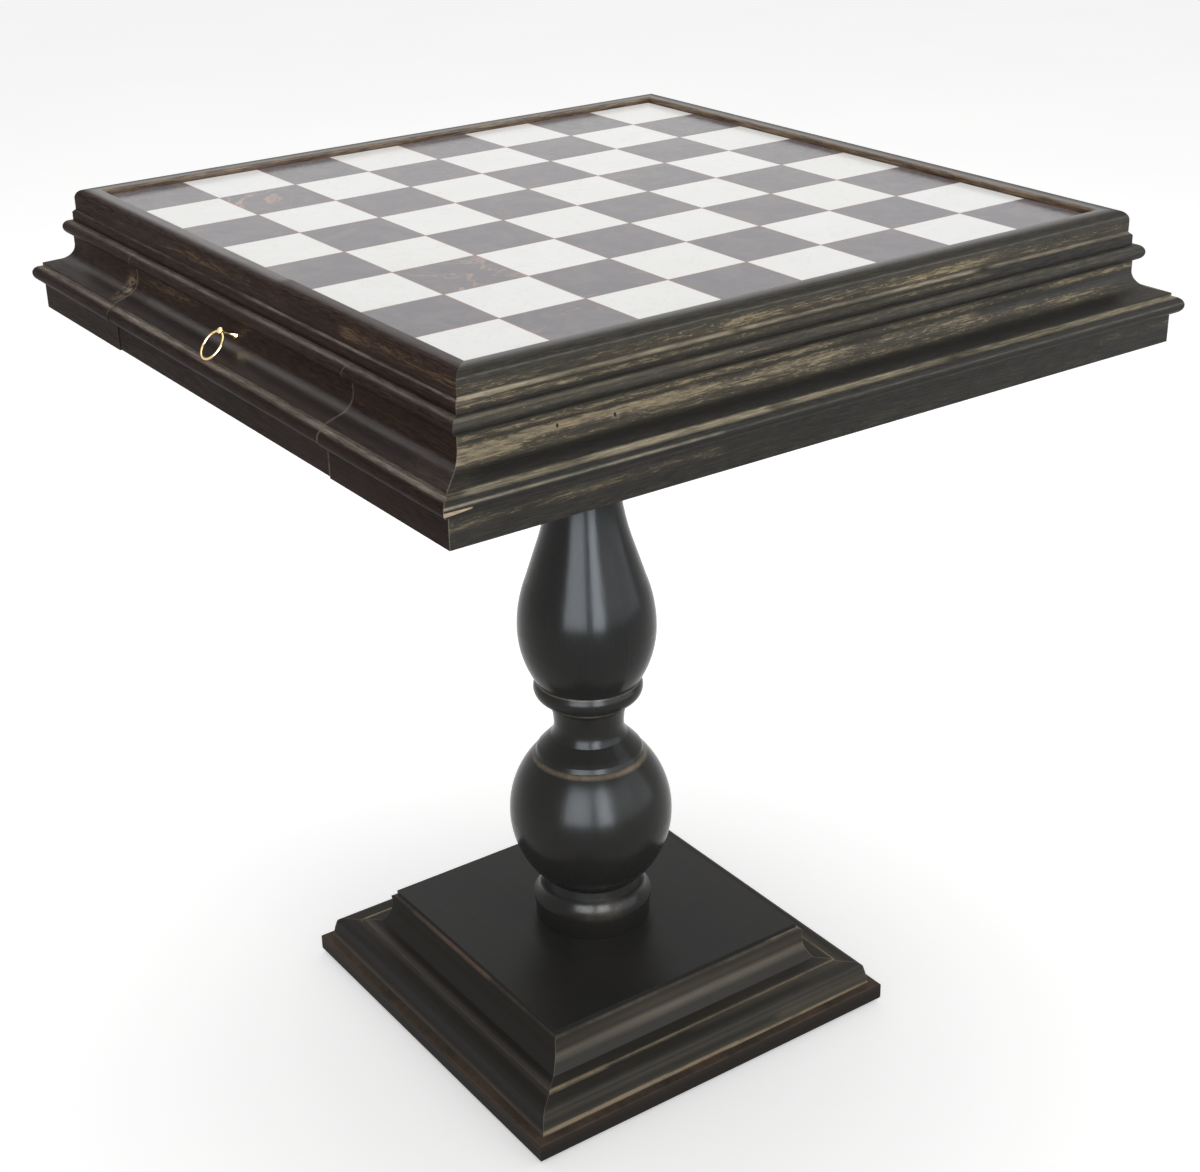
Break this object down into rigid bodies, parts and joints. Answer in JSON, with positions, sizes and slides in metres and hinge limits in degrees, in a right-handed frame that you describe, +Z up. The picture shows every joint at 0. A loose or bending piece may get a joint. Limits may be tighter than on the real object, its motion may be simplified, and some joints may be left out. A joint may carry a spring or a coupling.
{
  "type": "pedestal chess table",
  "caption": "Square pedestal games table: inlaid stone chess board in a moulded wooden case with a drawer and brass ring pull, on a turned column and stepped square base.",
  "frame": {"origin": "on the floor, at the centre of the square base's underside", "axes": "+Z up along the column; -Y towards the side with the drawer and its ring pull; +X to the right when facing the drawer"},
  "size_m": [0.5692, 0.5692, 0.6354],
  "materials": {
    "light_stone": "polished alabaster",
    "dark_stone": "polished veined marble",
    "rail_wood": "satin, black-brown antiqued, rubbed through along the edges",
    "case_wood": "satin, black-brown antiqued, rubbed through along the edges",
    "column_wood": "satin black lacquer, worn on the arrises",
    "base_wood": "satin black lacquer, worn on the arrises",
    "raw_wood": "unfinished",
    "plywood": "unfinished",
    "brass": "polished",
    "steel": "zinc plated",
    "felt": "felt"
  },
  "bodies": {
    "table": {"light_squares": "light_stone", "dark_squares": "dark_stone", "board_backing": "plywood", "rail_front": "rail_wood", "rail_back": "rail_wood", "rail_left": "rail_wood", "rail_right": "rail_wood", "nosing_front": "case_wood", "nosing_back": "case_wood", "nosing_left": "case_wood", "nosing_right": "case_wood", "deck_panel": "plywood", "moulding_right": "case_wood", "moulding_back": "case_wood", "moulding_left": "case_wood", "moulding_front_right": "case_wood", "moulding_front_left": "case_wood", "case_bottom": "plywood", "corner_blocks": "raw_wood", "drawer_guide_right": "raw_wood", "drawer_guide_left": "raw_wood", "drawer_kicker_right": "raw_wood", "drawer_kicker_left": "raw_wood", "drawer_rear_stop": "raw_wood", "drawer_front_stop": "raw_wood", "column": "column_wood", "column_insert": "steel", "column_top_plate": "raw_wood", "plate_screws": "steel", "base_plinth": "base_wood", "base_top": "base_wood", "base_block": "raw_wood", "base_bolt": "steel", "base_washer": "steel", "felt_pads": "felt", "base_skirt_right": "base_wood", "base_cavetto_right": "base_wood", "base_skirt_back": "base_wood", "base_cavetto_back": "base_wood", "base_skirt_left": "base_wood", "base_cavetto_left": "base_wood", "base_skirt_front": "base_wood", "base_cavetto_front": "base_wood"},
    "drawer": {"drawer_front": "case_wood", "drawer_side_right": "raw_wood", "drawer_side_left": "raw_wood", "drawer_back": "raw_wood", "drawer_bottom": "plywood", "pull_post": "brass", "pull_nut": "brass"},
    "pull": {"pull_ring": "brass"}
  },
  "joints": [
    {"name": "drawer_slide", "type": "slide", "parent": "table", "child": "drawer", "axis": [0, -1, 0], "range_m": [0, 0.3]},
    {"name": "pull_swing", "type": "hinge", "parent": "drawer", "child": "pull", "pos_m": [0, -0.26972, 0.59667], "axis": [-1, 0, 0], "range_deg": [-9, 153]}
  ]
}
